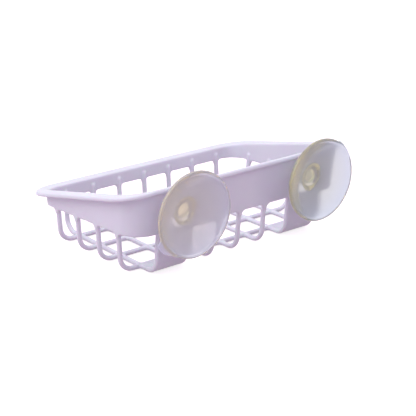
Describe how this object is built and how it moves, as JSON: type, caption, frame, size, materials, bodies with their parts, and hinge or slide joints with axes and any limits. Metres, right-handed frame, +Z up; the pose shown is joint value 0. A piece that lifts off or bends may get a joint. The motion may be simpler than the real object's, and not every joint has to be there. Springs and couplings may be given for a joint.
{
  "type": "soap rack",
  "caption": "Open plastic basket with a sloping rolled rim and a barred floor that drains, hung on a wall by soft suction cups in keyholes.",
  "frame": {"origin": "centre of the bounding box in plan, at the height of the feet that the rack stands on", "axes": "+X along the rack towards the left cup as seen from the wall's opposite side, +Y towards the wall that the cups hold to, +Z up"},
  "size_m": [0.182, 0.133, 0.0705],
  "materials": {
    "basket_plastic": "smooth lilac, semi-gloss",
    "cup_soft_clear": "clear, slightly yellowed soft vinyl"
  },
  "bodies": {
    "basket": {"basket": "basket_plastic"},
    "suction_cup_left": {"suction_cup_left": "cup_soft_clear"},
    "suction_cup_right": {"suction_cup_right": "cup_soft_clear"}
  },
  "joints": [
    {"name": "left_cup_turn", "type": "hinge", "parent": "basket", "child": "suction_cup_left", "pos_m": [0.0525, 0.0473, 0.043], "axis": [0, 1, 0], "continuous": true},
    {"name": "right_cup_turn", "type": "hinge", "parent": "basket", "child": "suction_cup_right", "pos_m": [-0.0525, 0.0473, 0.043], "axis": [0, 1, 0], "continuous": true}
  ]
}
